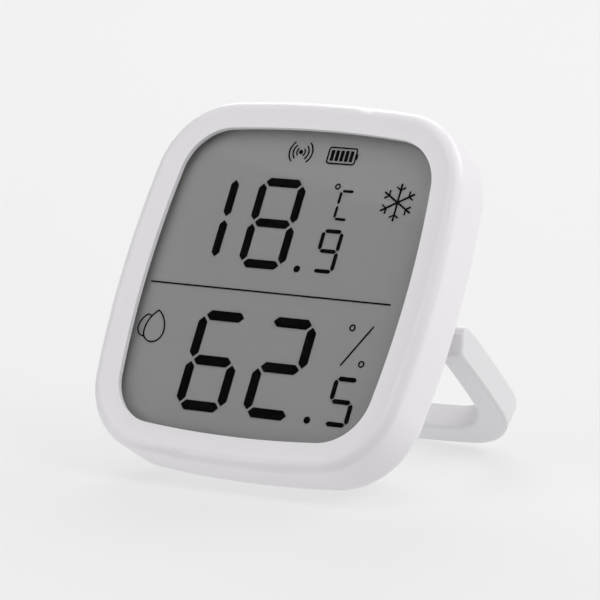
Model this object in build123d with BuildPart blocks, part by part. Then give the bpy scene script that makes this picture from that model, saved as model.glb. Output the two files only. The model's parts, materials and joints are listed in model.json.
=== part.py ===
# A battery-powered temperature and humidity sensor with a segment display, leaning on its
# fold-out stand. Each separate piece of the real object is a solid of its own.
from build123d import *
import math
import os

os.makedirs("parts", exist_ok=True)

# The pieces are drawn with the casing upright: X runs to the right, Y from the face to the
# back, and Z up the face, from the middle of the rim's crest. A depth is a distance along Y.
# Lengths are in millimetres and angles in degrees.

# Casing
case_width = 57.5
case_height = 59.5
rear_side_inset = 0.3
rear_end_overhang = 0.05
parts_room = 3.6
side_bow = 153.0
top_bow = 188.0
case_corner = 12.9
rear_corner = 12.6
rim_round = 1.6
body_round = 2.9
case_wall = 1.6
parting_depth = 1.9
lean = 31.3

# Bezel
bezel_side = 4.77
bezel_end = 4.62
opening_corner = 8.2
crest_land = 0.06
dish_depth = 0.38
dish_steps = 5
lip_depth = 1.2
tongue_length = 2.5
tongue_wall = 1.2
shell_gap = 0.05

# Raised back, battery block and stand
back_side_inset = 3.75
back_end_inset = 3.45
back_rise = 2.95
back_corner = 9.0
back_round = 1.2
block_side_gap = 2.0
block_end_inset = 7.75
block_corner = 8.0
block_round = 1.0
pivot_drop = 1.8
stand_inset = 1.45
stand_arm_width = 4.47
stand_bar_width = 4.31
stand_thickness = 4.7
stand_corner = 10.7
stand_inner_corner = 7.9
stand_round = 0.5
stand_opening = 75.7
arm_bow = 151.0
arm_bow_drop = 12.0
bar_bow = 186.0
lug_reach = 2.1
lug_round = 1.2
lug_bevel_height = 2.8
lug_bevel_length = 1.6
lug_bevel_round = 1.1
lug_tip_round = 0.6
fold_gap = 0.1
pin_radius = 1.4
pin_gap = 0.05
pin_overreach = 0.4
pivot_boss_wall = 0.85
pivot_boss_gap = 0.2

# Display
tape_thickness = 0.1
tape_setback = 0.3
display_gap = 0.2
polarizer_thickness = 0.15
glass_thickness = 0.4
cell_gap = 0.06
adhesive_layer = 0.02
reflector_thickness = 0.2
contact_ledge = 1.3
strip_length = 20.0
strip_height = 0.9
strip_gap = 0.05
holder_plate = 0.8
holder_rim_height = 1.22
holder_rim_width = 1.2

# Board and what it carries
board_thickness = 1.0
screw_radius = 0.8
screw_length = 4.6
screw_head_radius = 1.4
screw_head_height = 1.0
screw_recess_width = 0.45
screw_recess_length = 1.7
screw_recess_depth = 0.5
screw_hole_gap = 0.1
screw_inset = 9.75
boss_wall = 1.3
driver_size = 7.0
driver_height = 0.9
driver_x = 9.0
driver_drop = 13.7
driver_leads = 8
lead_pitch = 0.75
lead_width = 0.35
lead_reach = 0.9
lead_thickness = 0.25
radio_width = 12.0
radio_height = 16.0
radio_thickness = 0.8
radio_side_gap = 2.5
radio_top_gap = 5.2
shield_width = 10.4
shield_height = 10.8
shield_thickness = 1.9
shield_sheet = 0.2
shield_gap_to_edge = 0.6
sensor_size = 2.5
sensor_height = 0.9
sensor_port_radius = 0.5
sensor_port_depth = 0.3
sensor_edge_gap = 5.0
sensor_z = -9.0
collar_gap = 0.4
collar_wall = 0.9
collar_height = 2.4
capacitor_length = 1.6
capacitor_width = 0.8
capacitor_pitch = 2.6
capacitor_count = 5
capacitor_side_gap = 4.0
capacitor_rise = 6.0
crystal_length = 3.2
crystal_width = 1.5
crystal_height = 0.8
crystal_round = 0.5
crystal_drop = 7.0
inductor_size = 3.0
inductor_height = 1.6
inductor_round = 0.5
inductor_x = 16.0
inductor_z = 6.5

# Button on the top wall
button_length = 9.0
button_proud = 0.35
button_gap = 0.15
button_flange = 0.8
button_flange_lap = 0.7
button_side_gap = 0.2
button_stem_length = 2.4
button_stem_width = 1.6
button_round = 0.3
switch_length = 4.5
switch_back_gap = 0.2
switch_height = 3.0
plunger_length = 1.6
plunger_width = 1.2
plunger_proud = 0.6
plunger_root = 0.9
plunger_gap = 0.08
button_travel = 0.3
travel_gap = 0.1

# Coin cell, its well and its door
cell_diameter = 24.5
cell_thickness = 5.0
cell_cap_height = 0.35
cell_cap_inset = 1.9
cell_crimp_round = 0.5
cell_clearance = 0.3
well_floor = 1.0
well_wall = 2.3
door_height = 2.3
door_flange = 1.0
door_flange_lap = 1.3
door_gap = 0.15
door_hub_margin = 0.65
door_to_cell = 0.2
door_round = 0.25
door_lug_count = 3
door_lug_height = 0.65
door_lug_width = 5.0
door_lug_overhang = 0.9
door_lug_gap = 0.1
door_twist = 25.0
coin_slot_length = 13.0
coin_slot_width = 2.2
coin_slot_depth = 0.7
contact_sheet = 0.3
contact_width = 4.0
contact_slot_gap = 0.4
negative_foot_share = 0.25
negative_leaf_share = 0.3
positive_foot = 3.0
positive_gap = 0.02
positive_reach_share = 0.7

# Air slots in the left wall
vent_count = 6
vent_pitch = 2.2
vent_end_gap = 0.4
vent_width = 1.1

# Snap beads on the tongue
bead_length = 8.0
bead_height = 0.3
bead_width = 0.8
bead_gap = 0.1
bead_place_shares = (-0.5, 0.5)
bead_zone_width = 6.4

# Display characters
upper_digit_width = 7.19
upper_digit_height = 13.49
upper_bar = 1.4
lower_digit_width = 7.62
lower_digit_height = 14.63
lower_bar = 1.6
bar_gap = 0.335
small_bar_gap = 0.15
small_upper_width = 3.27
small_upper_height = 6.51
small_upper_bar = 0.62
small_lower_width = 3.63
small_lower_height = 7.14
small_lower_bar = 0.74
unit_width = 2.3
unit_height = 4.6
unit_bar = 0.4
point_radius = 0.56
fine_line = 0.22
icon_line = 0.24

# Where the characters stand, from the middle of their own layout, as shares of the width and
# height of the bezel's opening
layout_x = -0.99
layout_z = 0.39
one_place_shares = (-0.3276, 0.1914)
eight_place_shares = (-0.0675, 0.1872)
nine_place_shares = (0.1691, 0.1140)
upper_point_place_shares = (0.0729, 0.0487)
six_place_shares = (-0.1422, -0.2704)
two_place_shares = (0.1163, -0.2698)
five_place_shares = (0.3739, -0.3513)
lower_point_place_shares = (0.2686, -0.4192)
divider_start_shares = (-0.4673, -0.0354)
divider_end_shares = (0.4533, -0.0354)
degree_place_shares = (0.1382, 0.3239)
degree_radius = 0.5
celsius_place_shares = (0.1812, 0.2652)
snowflake_place_shares = (0.3736, 0.2885)
snowflake_arm = 3.07
snowflake_branch = 0.92
snowflake_branch_share = 0.66
snowflake_line = 0.3
snowflake_arms = 6
snowflake_turn_share = 0.5
snowflake_branch_angle = 60.0
slash_start_shares = (0.4151, -0.1078)
slash_end_shares = (0.3332, -0.2392)
upper_ring_place_shares = (0.3391, -0.1186)
lower_ring_place_shares = (0.4075, -0.2286)
percent_ring_radius = 0.54
radio_sign_place_shares = (-0.0379, 0.4268)
radio_sign_dot = 0.35
radio_sign_first_arc = 0.75
radio_sign_step = 0.675
radio_sign_spread = 100.0
radio_sign_arcs = 3
battery_sign_place_shares = (0.1205, 0.4238)
battery_sign_width = 5.25
battery_sign_height = 2.85
battery_sign_round = 0.5
battery_nub_width = 0.25
battery_nub_height = 0.9
battery_bar_pitch = 0.877
battery_bar_width = 0.57
battery_bar_height = 1.75
battery_bar_count = 5
front_drop_tip_shares = (-0.4030, -0.1244)
front_drop_middle_shares = (-0.4001, -0.1938)
front_drop_radius = 1.95
back_drop_tip_shares = (-0.4377, -0.1401)
back_drop_middle_shares = (-0.4335, -0.1852)
back_drop_radius = 1.6

# One overrun serves every cut that has to break through.
overrun = 1.0
# Two directions count as the same within this much.
slight = 1e-4

# Depths, from the front to the back
polarizer_depth = lip_depth + tape_thickness
front_glass_depth = polarizer_depth + polarizer_thickness + adhesive_layer
glass_back_depth = front_glass_depth + glass_thickness
segment_depth = glass_back_depth + adhesive_layer
rear_glass_depth = segment_depth + cell_gap + adhesive_layer
reflector_depth = rear_glass_depth + glass_thickness + adhesive_layer
holder_depth = reflector_depth + reflector_thickness
holder_rim_depth = holder_depth + holder_plate
board_depth = holder_rim_depth + holder_rim_height
parts_depth = board_depth + board_thickness
body_inner_depth = parts_depth + parts_room
body_depth = body_inner_depth + case_wall
back_depth = body_depth + back_rise
overall_depth = back_depth + fold_gap + stand_thickness
pivot_depth = overall_depth - stand_thickness / 2
door_inner_depth = overall_depth - door_height
cell_back_depth = door_inner_depth - door_to_cell
cell_front_depth = cell_back_depth - cell_thickness
flange_depth = overall_depth - door_flange
well_floor_depth = cell_front_depth - well_floor
tongue_depth = parting_depth + tongue_length
bead_depth = tongue_depth - bead_width
side_room = body_inner_depth - tongue_depth
side_middle_depth = tongue_depth + side_room / 2

# Insets from the casing's outline
tongue_inset = case_wall + shell_gap
pocket_inset = tongue_inset + tongue_wall
display_inset = pocket_inset + display_gap
board_side = case_width / 2 - display_inset
board_top = case_height / 2 - display_inset
ledge_top = contact_ledge - board_top

# Widths and heights that follow the casing's
rear_width = case_width - 2 * rear_side_inset
rear_height = case_height + 2 * rear_end_overhang
opening_width = case_width - 2 * bezel_side
opening_height = case_height - 2 * bezel_end
back_width = case_width - 2 * back_side_inset
back_height = case_height - 2 * back_end_inset
stand_width = case_width - 2 * stand_inset
arm_widest_inside = stand_width / 2 - stand_arm_width
arm_inside = arm_widest_inside - (arm_bow_drop + lug_reach) ** 2 / (2 * arm_bow)
block_width = 2 * (arm_widest_inside - block_side_gap)
block_height = case_height - 2 * block_end_inset

# Places on the board, from its screws, its edges and one another
screw_spacing_x = case_width - 2 * screw_inset
screw_spacing_z = case_height - 2 * screw_inset
driver_z = board_top - driver_drop
radio_x = radio_side_gap + radio_width / 2 - screw_spacing_x / 2
radio_z = board_top - radio_top_gap - radio_height / 2
sensor_x = sensor_edge_gap - board_side
capacitor_x = screw_spacing_x / 2 - capacitor_side_gap
capacitor_z = capacitor_rise - screw_spacing_z / 2
crystal_z = driver_z - crystal_drop


def at_depth(depth):
    """The plane across the casing at a depth, seen from the front."""
    return Plane.XZ.offset(-depth)


def corner_points(half_width, half_height, side_radius, top_radius, corner_radius):
    """The start, middle and end of the arc that joins a bowed side to a bowed top."""
    side_centre = Vector(half_width - side_radius, 0)
    top_centre = Vector(0, half_height - top_radius)
    # The corner arc touches both bows inside, which fixes its distance from their centres.
    apart = top_centre - side_centre
    side_reach = side_radius - corner_radius
    top_reach = top_radius - corner_radius
    along = (apart.length**2 + side_reach**2 - top_reach**2) / (2 * apart.length)
    across = math.sqrt(side_reach**2 - along**2)
    ahead = apart.normalized()
    corner_centre = side_centre + ahead * along + Vector(-ahead.Y, ahead.X) * across
    to_side = (corner_centre - side_centre).normalized()
    to_top = (corner_centre - top_centre).normalized()
    low = side_centre + to_side * side_radius
    middle = corner_centre + (to_side + to_top).normalized() * corner_radius
    high = top_centre + to_top * top_radius
    return low, middle, high


def pillow(width, height, corner, inset=0.0):
    """An outline of four gently bowed sides, joined by four tangent corner arcs."""
    half_width = width / 2 - inset
    half_height = height / 2 - inset
    side_radius = side_bow - (case_width - width) / 2 - inset
    top_radius = top_bow - (case_height - height) / 2 - inset
    low, middle, high = corner_points(half_width, half_height, side_radius, top_radius, corner - inset)
    with BuildSketch() as outline:
        with BuildLine():
            for side in (1, -1):
                ThreePointArc((side * low.X, -low.Y), (side * half_width, 0), (side * low.X, low.Y))
                ThreePointArc((-high.X, side * high.Y), (0, side * half_height), (high.X, side * high.Y))
                for end in (1, -1):
                    ThreePointArc(
                        (side * low.X, end * low.Y),
                        (side * middle.X, end * middle.Y),
                        (side * high.X, end * high.Y),
                    )
        make_face()
    return outline.sketch


def case_outline(inset=0.0):
    """The casing's outline at the parting line, drawn in by an inset."""
    return pillow(case_width, case_height, case_corner, inset)


def bead_zones(length):
    """Rectangles across the casing's edge that cut a ring down to two beads on each side."""
    with BuildSketch() as zones:
        for side in (1, -1):
            for share in bead_place_shares:
                with Locations((share * case_width / 2, side * case_height / 2)):
                    Rectangle(length, bead_zone_width)
                with Locations((side * case_width / 2, share * case_height / 2)):
                    Rectangle(bead_zone_width, length)
    return zones.sketch


# The bezel: a shallow cap with a rounded rim and a dished face, and the tongue behind it.
with BuildPart() as front_frame:
    with BuildSketch(at_depth(0)):
        add(case_outline())
    extrude(amount=-parting_depth)
    fillet(front_frame.faces().sort_by(Axis.Y)[0].edges(), rim_round)
    with BuildSketch(at_depth(parting_depth)):
        add(case_outline(tongue_inset))
    extrude(amount=-tongue_length)
    with BuildSketch(at_depth(bead_depth)):
        add(case_outline(tongue_inset - bead_height))
        add(bead_zones(bead_length), mode=Mode.INTERSECT)
        add(case_outline(tongue_inset), mode=Mode.SUBTRACT)
    extrude(amount=-bead_width)
    with BuildSketch(at_depth(lip_depth)):
        add(case_outline(pocket_inset))
    extrude(amount=-(tongue_depth - lip_depth), mode=Mode.SUBTRACT)
    with BuildSketch(at_depth(0)):
        add(pillow(opening_width, opening_height, opening_corner))
    extrude(amount=-lip_depth, mode=Mode.SUBTRACT)
    # The dish falls from the crest to the opening, steep at first and level at the opening.
    crest_inset = rim_round + crest_land
    crest_width = case_width - 2 * crest_inset
    crest_height = case_height - 2 * crest_inset
    crest_corner = case_corner - crest_inset
    rings = []
    for step in range(dish_steps + 1):
        share = step / dish_steps
        rings.append(
            (
                dish_depth * (1 - (1 - share) ** 2),
                crest_width + (opening_width - crest_width) * share,
                crest_height + (opening_height - crest_height) * share,
                crest_corner + (opening_corner - crest_corner) * share,
            )
        )
    for outer_ring, inner_ring in zip(rings, rings[1:]):
        for depth, width, height, corner in (outer_ring, inner_ring):
            with BuildSketch(at_depth(depth)):
                add(pillow(width, height, corner))
        loft(ruled=True, mode=Mode.SUBTRACT)
front_frame.part.label = "front_frame"

# The adhesive ring that holds the display behind the bezel's lip.
with BuildPart() as display_tape:
    with BuildSketch(at_depth(lip_depth)):
        add(case_outline(display_inset))
        add(
            pillow(opening_width, opening_height, opening_corner, -tape_setback),
            mode=Mode.SUBTRACT,
        )
    extrude(amount=-tape_thickness)
display_tape.part.label = "display_tape"

# The display: a polarizing film on the front glass, the dark segments, the rear glass, which
# leaves a ledge of contacts free at the bottom, and the grey reflecting film.
with BuildPart() as front_polarizer:
    with BuildSketch(at_depth(polarizer_depth)):
        add(case_outline(display_inset))
    extrude(amount=-polarizer_thickness)
front_polarizer.part.label = "front_polarizer"

with BuildPart() as front_glass:
    with BuildSketch(at_depth(front_glass_depth)):
        add(case_outline(display_inset))
    extrude(amount=-glass_thickness)
front_glass.part.label = "front_glass"


def ledged_outline():
    """The display's outline, cut short at the bottom to bare the contact ledge."""
    with BuildSketch() as outline:
        add(case_outline(display_inset))
        with Locations((0, ledge_top)):
            Rectangle(case_width, case_height, align=(Align.CENTER, Align.MIN), mode=Mode.INTERSECT)
    return outline.sketch


with BuildPart() as rear_glass:
    with BuildSketch(at_depth(rear_glass_depth)):
        add(ledged_outline())
    extrude(amount=-glass_thickness)
rear_glass.part.label = "rear_glass"

with BuildPart() as reflector:
    with BuildSketch(at_depth(reflector_depth)):
        add(ledged_outline())
    extrude(amount=-reflector_thickness)
reflector.part.label = "reflector"


def shown_at(shares):
    """A place on the display, from its shares of the opening's width and height."""
    return (shares[0] * opening_width, shares[1] * opening_height)


def bar(start, end, thickness, gap):
    """One segment of a digit: a bar with pointed ends between two corner points."""
    start = Vector(*start)
    end = Vector(*end)
    ahead = (end - start).normalized()
    side = Vector(-ahead.Y, ahead.X)
    near = start + ahead * gap
    far = end - ahead * gap
    half = thickness / 2
    with BuildSketch() as shape:
        with BuildLine():
            Polyline(
                near,
                near + (ahead + side) * half,
                far + (side - ahead) * half,
                far,
                far - (ahead + side) * half,
                near + (ahead - side) * half,
                close=True,
            )
        make_face()
    return shape.sketch


def digit(place, width, height, thickness, gap, lit):
    """The lit segments of a seven-segment digit, named a to g from the top, clockwise."""
    x, z = place
    left = x - width / 2
    right = x + width / 2
    top = z + height / 2
    foot = z - height / 2
    ends = {
        "a": ((left, top), (right, top)),
        "b": ((right, top), (right, z)),
        "c": ((right, z), (right, foot)),
        "d": ((left, foot), (right, foot)),
        "e": ((left, z), (left, foot)),
        "f": ((left, top), (left, z)),
        "g": ((left, z), (right, z)),
    }
    with BuildSketch() as shape:
        for name in lit:
            add(bar(*ends[name], thickness, gap))
    return shape.sketch


def dot(place, radius):
    """A round point."""
    with BuildSketch() as shape:
        with Locations(place):
            Circle(radius)
    return shape.sketch


def ring(place, radius, line):
    """A thin ring."""
    with BuildSketch() as shape:
        with Locations(place):
            Circle(radius)
            Circle(radius - line, mode=Mode.SUBTRACT)
    return shape.sketch


def stroke(start, end, line):
    """A straight line of even width."""
    with BuildSketch() as shape:
        with BuildLine():
            Line(start, end)
        trace(line_width=line)
    return shape.sketch


def snowflake(place):
    """Arms round a middle, each with a pair of short branches."""
    with BuildSketch() as arm:
        add(stroke((0, 0), (snowflake_arm, 0), snowflake_line))
        fork = snowflake_arm * snowflake_branch_share
        ahead = snowflake_branch * math.cos(math.radians(snowflake_branch_angle))
        aside = snowflake_branch * math.sin(math.radians(snowflake_branch_angle))
        for side in (1, -1):
            add(stroke((fork, 0), (fork + ahead, side * aside), icon_line))
    with BuildSketch() as shape:
        for turn in range(snowflake_arms):
            add(arm.sketch, rotation=(turn + snowflake_turn_share) * 360 / snowflake_arms)
    return shape.sketch.moved(Location(place))


def drop_face(tip, middle, radius):
    """A drop: a half circle below and two arcs that meet at its tip."""
    x, z = middle
    with BuildSketch() as shape:
        with BuildLine():
            ThreePointArc((x - radius, z), (x, z - radius), (x + radius, z))
            TangentArc((x + radius, z), tip, tangent=(0, 1))
            TangentArc((x - radius, z), tip, tangent=(0, 1))
        make_face()
    return shape.sketch


def drop_line(tip, middle, radius):
    """A drop drawn as a thin line."""
    with BuildSketch() as shape:
        add(drop_face(tip, middle, radius))
        offset(amount=-fine_line, mode=Mode.SUBTRACT)
    return shape.sketch


def radio_sign(place):
    """A point between two fans of arcs."""
    with BuildSketch() as shape:
        Circle(radio_sign_dot)
        for step in range(radio_sign_arcs):
            radius = radio_sign_first_arc + step * radio_sign_step
            for facing in (0, 180):
                with BuildLine():
                    CenterArc((0, 0), radius, facing - radio_sign_spread / 2, radio_sign_spread)
                trace(line_width=fine_line)
    return shape.sketch.moved(Location(place))


def battery_sign(place):
    """A rounded battery outline with its nub and a row of bars."""
    with BuildSketch() as shape:
        RectangleRounded(battery_sign_width, battery_sign_height, battery_sign_round)
        RectangleRounded(
            battery_sign_width - 2 * fine_line,
            battery_sign_height - 2 * fine_line,
            battery_sign_round - fine_line,
            mode=Mode.SUBTRACT,
        )
        with Locations((battery_sign_width / 2, 0)):
            Rectangle(battery_nub_width, battery_nub_height, align=(Align.MIN, Align.CENTER))
        with GridLocations(battery_bar_pitch, 0, battery_bar_count, 1):
            Rectangle(battery_bar_width, battery_bar_height)
    return shape.sketch.moved(Location(place))


segment_plane = at_depth(segment_depth)
segment_plane = Plane(
    origin=segment_plane.origin + Vector(layout_x, 0, layout_z),
    x_dir=segment_plane.x_dir,
    z_dir=segment_plane.z_dir,
)

with BuildPart() as temperature_digits:
    with BuildSketch(segment_plane):
        for place, lit in ((shown_at(one_place_shares), "bc"), (shown_at(eight_place_shares), "abcdefg")):
            add(digit(place, upper_digit_width, upper_digit_height, upper_bar, bar_gap, lit))
        add(
            digit(
                shown_at(nine_place_shares),
                small_upper_width,
                small_upper_height,
                small_upper_bar,
                small_bar_gap,
                "abcdfg",
            )
        )
        add(dot(shown_at(upper_point_place_shares), point_radius))
    extrude(amount=-cell_gap)
temperature_digits.part.label = "temperature_digits"

with BuildPart() as humidity_digits:
    with BuildSketch(segment_plane):
        for place, lit in ((shown_at(six_place_shares), "acdefg"), (shown_at(two_place_shares), "abdeg")):
            add(digit(place, lower_digit_width, lower_digit_height, lower_bar, bar_gap, lit))
        add(
            digit(
                shown_at(five_place_shares),
                small_lower_width,
                small_lower_height,
                small_lower_bar,
                small_bar_gap,
                "acdfg",
            )
        )
        add(dot(shown_at(lower_point_place_shares), point_radius))
    extrude(amount=-cell_gap)
humidity_digits.part.label = "humidity_digits"

front_drop_tip = shown_at(front_drop_tip_shares)
front_drop_middle = shown_at(front_drop_middle_shares)
with BuildPart() as display_icons:
    with BuildSketch(segment_plane):
        add(stroke(shown_at(divider_start_shares), shown_at(divider_end_shares), icon_line))
        add(ring(shown_at(degree_place_shares), degree_radius, fine_line))
        add(digit(shown_at(celsius_place_shares), unit_width, unit_height, unit_bar, small_bar_gap, "adef"))
        add(snowflake(shown_at(snowflake_place_shares)))
        add(stroke(shown_at(slash_start_shares), shown_at(slash_end_shares), icon_line))
        add(ring(shown_at(upper_ring_place_shares), percent_ring_radius, fine_line))
        add(ring(shown_at(lower_ring_place_shares), percent_ring_radius, fine_line))
        add(radio_sign(shown_at(radio_sign_place_shares)))
        add(battery_sign(shown_at(battery_sign_place_shares)))
        add(drop_line(shown_at(back_drop_tip_shares), shown_at(back_drop_middle_shares), back_drop_radius))
        add(drop_face(front_drop_tip, front_drop_middle, front_drop_radius), mode=Mode.SUBTRACT)
        add(drop_line(front_drop_tip, front_drop_middle, front_drop_radius))
    extrude(amount=-cell_gap)
display_icons.part.label = "display_icons"

# The moulded tray behind the display: a plate with a rim that stands on the board, and a
# notch at the bottom for the contact strip.
strip_low = ledge_top - strip_gap - strip_height
with BuildPart() as display_holder:
    with BuildSketch(at_depth(holder_depth)):
        add(case_outline(display_inset))
    extrude(amount=-(board_depth - holder_depth))
    with BuildSketch(at_depth(holder_rim_depth)):
        add(case_outline(display_inset + holder_rim_width))
    extrude(amount=-holder_rim_height, mode=Mode.SUBTRACT)
    with BuildSketch(at_depth(holder_depth)):
        with Locations((0, ledge_top)):
            Rectangle(
                strip_length + 2 * strip_gap,
                contact_ledge + overrun,
                align=(Align.CENTER, Align.MAX),
            )
    extrude(amount=-(board_depth - holder_depth), mode=Mode.SUBTRACT)
display_holder.part.label = "display_holder"

with BuildPart() as contact_strip:
    with BuildSketch(at_depth(glass_back_depth)):
        with Locations((0, strip_low)):
            Rectangle(strip_length, strip_height, align=(Align.CENTER, Align.MIN))
    extrude(amount=-(board_depth - glass_back_depth))
contact_strip.part.label = "contact_strip"

with BuildPart() as main_board:
    with BuildSketch(at_depth(board_depth)):
        add(case_outline(display_inset))
        with GridLocations(screw_spacing_x, screw_spacing_z, 2, 2):
            Circle(screw_radius + screw_hole_gap, mode=Mode.SUBTRACT)
    extrude(amount=-board_thickness)
main_board.part.label = "main_board"

# Chips and modules stand on the back of the board.
with BuildPart() as display_driver:
    with BuildSketch(at_depth(parts_depth)):
        with Locations((driver_x, driver_z)):
            Rectangle(driver_size, driver_size)
    extrude(amount=-driver_height)
    chamfer(display_driver.faces().sort_by(Axis.Y)[-1].edges(), lead_thickness)
    with BuildSketch(at_depth(parts_depth)):
        with Locations((driver_x, driver_z)):
            for turn in (0, 90):
                with Locations(Location((0, 0), turn)):
                    with GridLocations(lead_pitch, 0, driver_leads, 1):
                        Rectangle(lead_width, driver_size + 2 * lead_reach)
    extrude(amount=-lead_thickness)
display_driver.part.label = "display_driver"

with BuildPart() as radio_module:
    with BuildSketch(at_depth(parts_depth)):
        with Locations((radio_x, radio_z)):
            Rectangle(radio_width, radio_height)
    extrude(amount=-radio_thickness)
radio_module.part.label = "radio_module"

shield_z = radio_z - radio_height / 2 + shield_gap_to_edge + shield_height / 2
with BuildPart() as radio_shield:
    with BuildSketch(at_depth(parts_depth + radio_thickness)):
        with Locations((radio_x, shield_z)):
            RectangleRounded(shield_width, shield_height, shield_gap_to_edge)
    extrude(amount=-shield_thickness)
    fillet(radio_shield.faces().sort_by(Axis.Y)[-1].edges(), shield_sheet)
    with BuildSketch(at_depth(parts_depth + radio_thickness)):
        with Locations((radio_x, shield_z)):
            Rectangle(shield_width - 2 * shield_gap_to_edge, shield_height - 2 * shield_gap_to_edge)
    extrude(amount=-(shield_thickness - shield_sheet), mode=Mode.SUBTRACT)
radio_shield.part.label = "radio_shield"

with BuildPart() as humidity_sensor:
    with BuildSketch(at_depth(parts_depth)):
        with Locations((sensor_x, sensor_z)):
            Rectangle(sensor_size, sensor_size)
    extrude(amount=-sensor_height)
    with BuildSketch(at_depth(parts_depth + sensor_height)):
        with Locations((sensor_x, sensor_z)):
            Circle(sensor_port_radius)
    extrude(amount=sensor_port_depth, mode=Mode.SUBTRACT)
humidity_sensor.part.label = "humidity_sensor"

with BuildPart() as sensor_collar:
    with BuildSketch(at_depth(parts_depth)):
        with Locations((sensor_x, sensor_z)):
            collar_inside = sensor_size + 2 * collar_gap
            Rectangle(collar_inside + 2 * collar_wall, collar_inside + 2 * collar_wall)
            Rectangle(collar_inside, collar_inside, mode=Mode.SUBTRACT)
    extrude(amount=-collar_height)
sensor_collar.part.label = "sensor_collar"

with BuildPart() as board_components:
    with BuildSketch(at_depth(parts_depth)):
        with Locations((capacitor_x, capacitor_z)):
            with GridLocations(0, capacitor_pitch, 1, capacitor_count):
                Rectangle(capacitor_length, capacitor_width)
    extrude(amount=-capacitor_width)
    with BuildSketch(at_depth(parts_depth)):
        with Locations((driver_x, crystal_z)):
            RectangleRounded(crystal_length, crystal_width, crystal_round)
    extrude(amount=-crystal_height)
    with BuildSketch(at_depth(parts_depth)):
        with Locations((inductor_x, inductor_z)):
            RectangleRounded(inductor_size, inductor_size, inductor_round)
    extrude(amount=-inductor_height)
board_components.part.label = "board_components"

# Four screws hold tray and board to the rear shell's bosses.
with BuildPart() as board_screws:
    with BuildSketch(at_depth(board_depth - screw_head_height)):
        with GridLocations(screw_spacing_x, screw_spacing_z, 2, 2):
            Circle(screw_head_radius)
    extrude(amount=-screw_head_height)
    with BuildSketch(at_depth(board_depth)):
        with GridLocations(screw_spacing_x, screw_spacing_z, 2, 2):
            Circle(screw_radius)
    extrude(amount=-screw_length)
    with BuildSketch(at_depth(board_depth - screw_head_height)):
        with GridLocations(screw_spacing_x, screw_spacing_z, 2, 2):
            Rectangle(screw_recess_width, screw_recess_length)
            Rectangle(screw_recess_length, screw_recess_width)
    extrude(amount=-screw_recess_depth, mode=Mode.SUBTRACT)
board_screws.part.label = "board_screws"

# The button on the top wall, and the switch below it with its plunger.
button_width = side_room - 2 * (button_flange_lap + button_side_gap)
top_inside = case_height / 2 - case_wall
button_flange_top = top_inside - button_gap
button_flange_low = button_flange_top - button_flange
button_face = case_height / 2 + button_proud
plunger_top = button_flange_low - button_flange
switch_top = plunger_top - plunger_proud
switch_low = switch_top - switch_height

with BuildPart() as button_cap:
    with BuildSketch(Plane.XY.offset(button_flange_low)):
        with Locations((0, side_middle_depth)):
            SlotOverall(button_length + 2 * button_flange_lap, button_width + 2 * button_flange_lap)
    extrude(amount=button_flange)
    with BuildSketch(Plane.XY.offset(button_flange_top)):
        with Locations((0, side_middle_depth)):
            SlotOverall(button_length, button_width)
    extrude(amount=button_face - button_flange_top)
    fillet(button_cap.faces().sort_by(Axis.Z)[-1].edges(), button_round)
    with BuildSketch(Plane.XY.offset(button_flange_low)):
        with Locations((0, side_middle_depth)):
            Rectangle(button_stem_length, button_stem_width)
    extrude(amount=-(button_flange_low - plunger_top))
button_cap.part.label = "button_cap"

plunger_pocket_low = switch_top - plunger_root - button_travel - travel_gap
with BuildPart() as switch_body:
    with BuildSketch(Plane.XY.offset(switch_low)):
        with Locations((0, parts_depth)):
            Rectangle(switch_length, parts_room - switch_back_gap, align=(Align.CENTER, Align.MIN))
    extrude(amount=switch_height)
    with BuildSketch(Plane.XY.offset(plunger_pocket_low)):
        with Locations((0, side_middle_depth)):
            Rectangle(plunger_length + 2 * plunger_gap, plunger_width + 2 * plunger_gap)
    extrude(amount=switch_top - plunger_pocket_low, mode=Mode.SUBTRACT)
switch_body.part.label = "switch_body"

with BuildPart() as switch_plunger:
    with BuildSketch(Plane.XY.offset(switch_top - plunger_root)):
        with Locations((0, side_middle_depth)):
            Rectangle(plunger_length, plunger_width)
    extrude(amount=plunger_root + plunger_proud)
switch_plunger.part.label = "switch_plunger"

# The coin cell: a can towards the door and a smaller cap towards the board.
cell_radius = cell_diameter / 2
can_front_depth = cell_front_depth + cell_cap_height
with BuildPart() as coin_cell:
    with BuildSketch(at_depth(can_front_depth)):
        Circle(cell_radius)
    extrude(amount=-(cell_back_depth - can_front_depth))
    fillet(coin_cell.edges().filter_by(GeomType.CIRCLE), cell_crimp_round)
    with BuildSketch(at_depth(cell_front_depth)):
        Circle(cell_radius - cell_cap_inset)
    extrude(amount=-cell_cap_height)
coin_cell.part.label = "coin_cell"

# A bent leaf springs up from the board to the cell's cap, through the well's floor.
foot_middle = parts_depth + contact_sheet / 2
leaf_tip = cell_front_depth - contact_sheet / 2
with BuildPart() as negative_contact:
    with BuildSketch(Plane.YZ.offset(-contact_width / 2)):
        with BuildLine():
            Polyline(
                (foot_middle, -cell_radius * negative_foot_share),
                (foot_middle, cell_radius * negative_foot_share),
                (leaf_tip - contact_sheet, cell_radius * negative_foot_share),
                (leaf_tip, cell_radius * negative_foot_share - contact_width / 2),
                (leaf_tip, -cell_radius * negative_leaf_share),
            )
        trace(line_width=contact_sheet)
    extrude(amount=contact_width)
negative_contact.part.label = "negative_contact"

# A straight strip stands beside the cell and touches its can.
positive_x = cell_radius + positive_gap + contact_sheet / 2
positive_top = cell_front_depth + cell_thickness * positive_reach_share
with BuildPart() as positive_contact:
    with BuildSketch(Plane.XY.offset(-contact_width / 2)):
        with BuildLine():
            Polyline(
                (positive_x + positive_foot, foot_middle),
                (positive_x, foot_middle),
                (positive_x, positive_top),
            )
        trace(line_width=contact_sheet)
    extrude(amount=contact_width)
positive_contact.part.label = "positive_contact"

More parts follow.
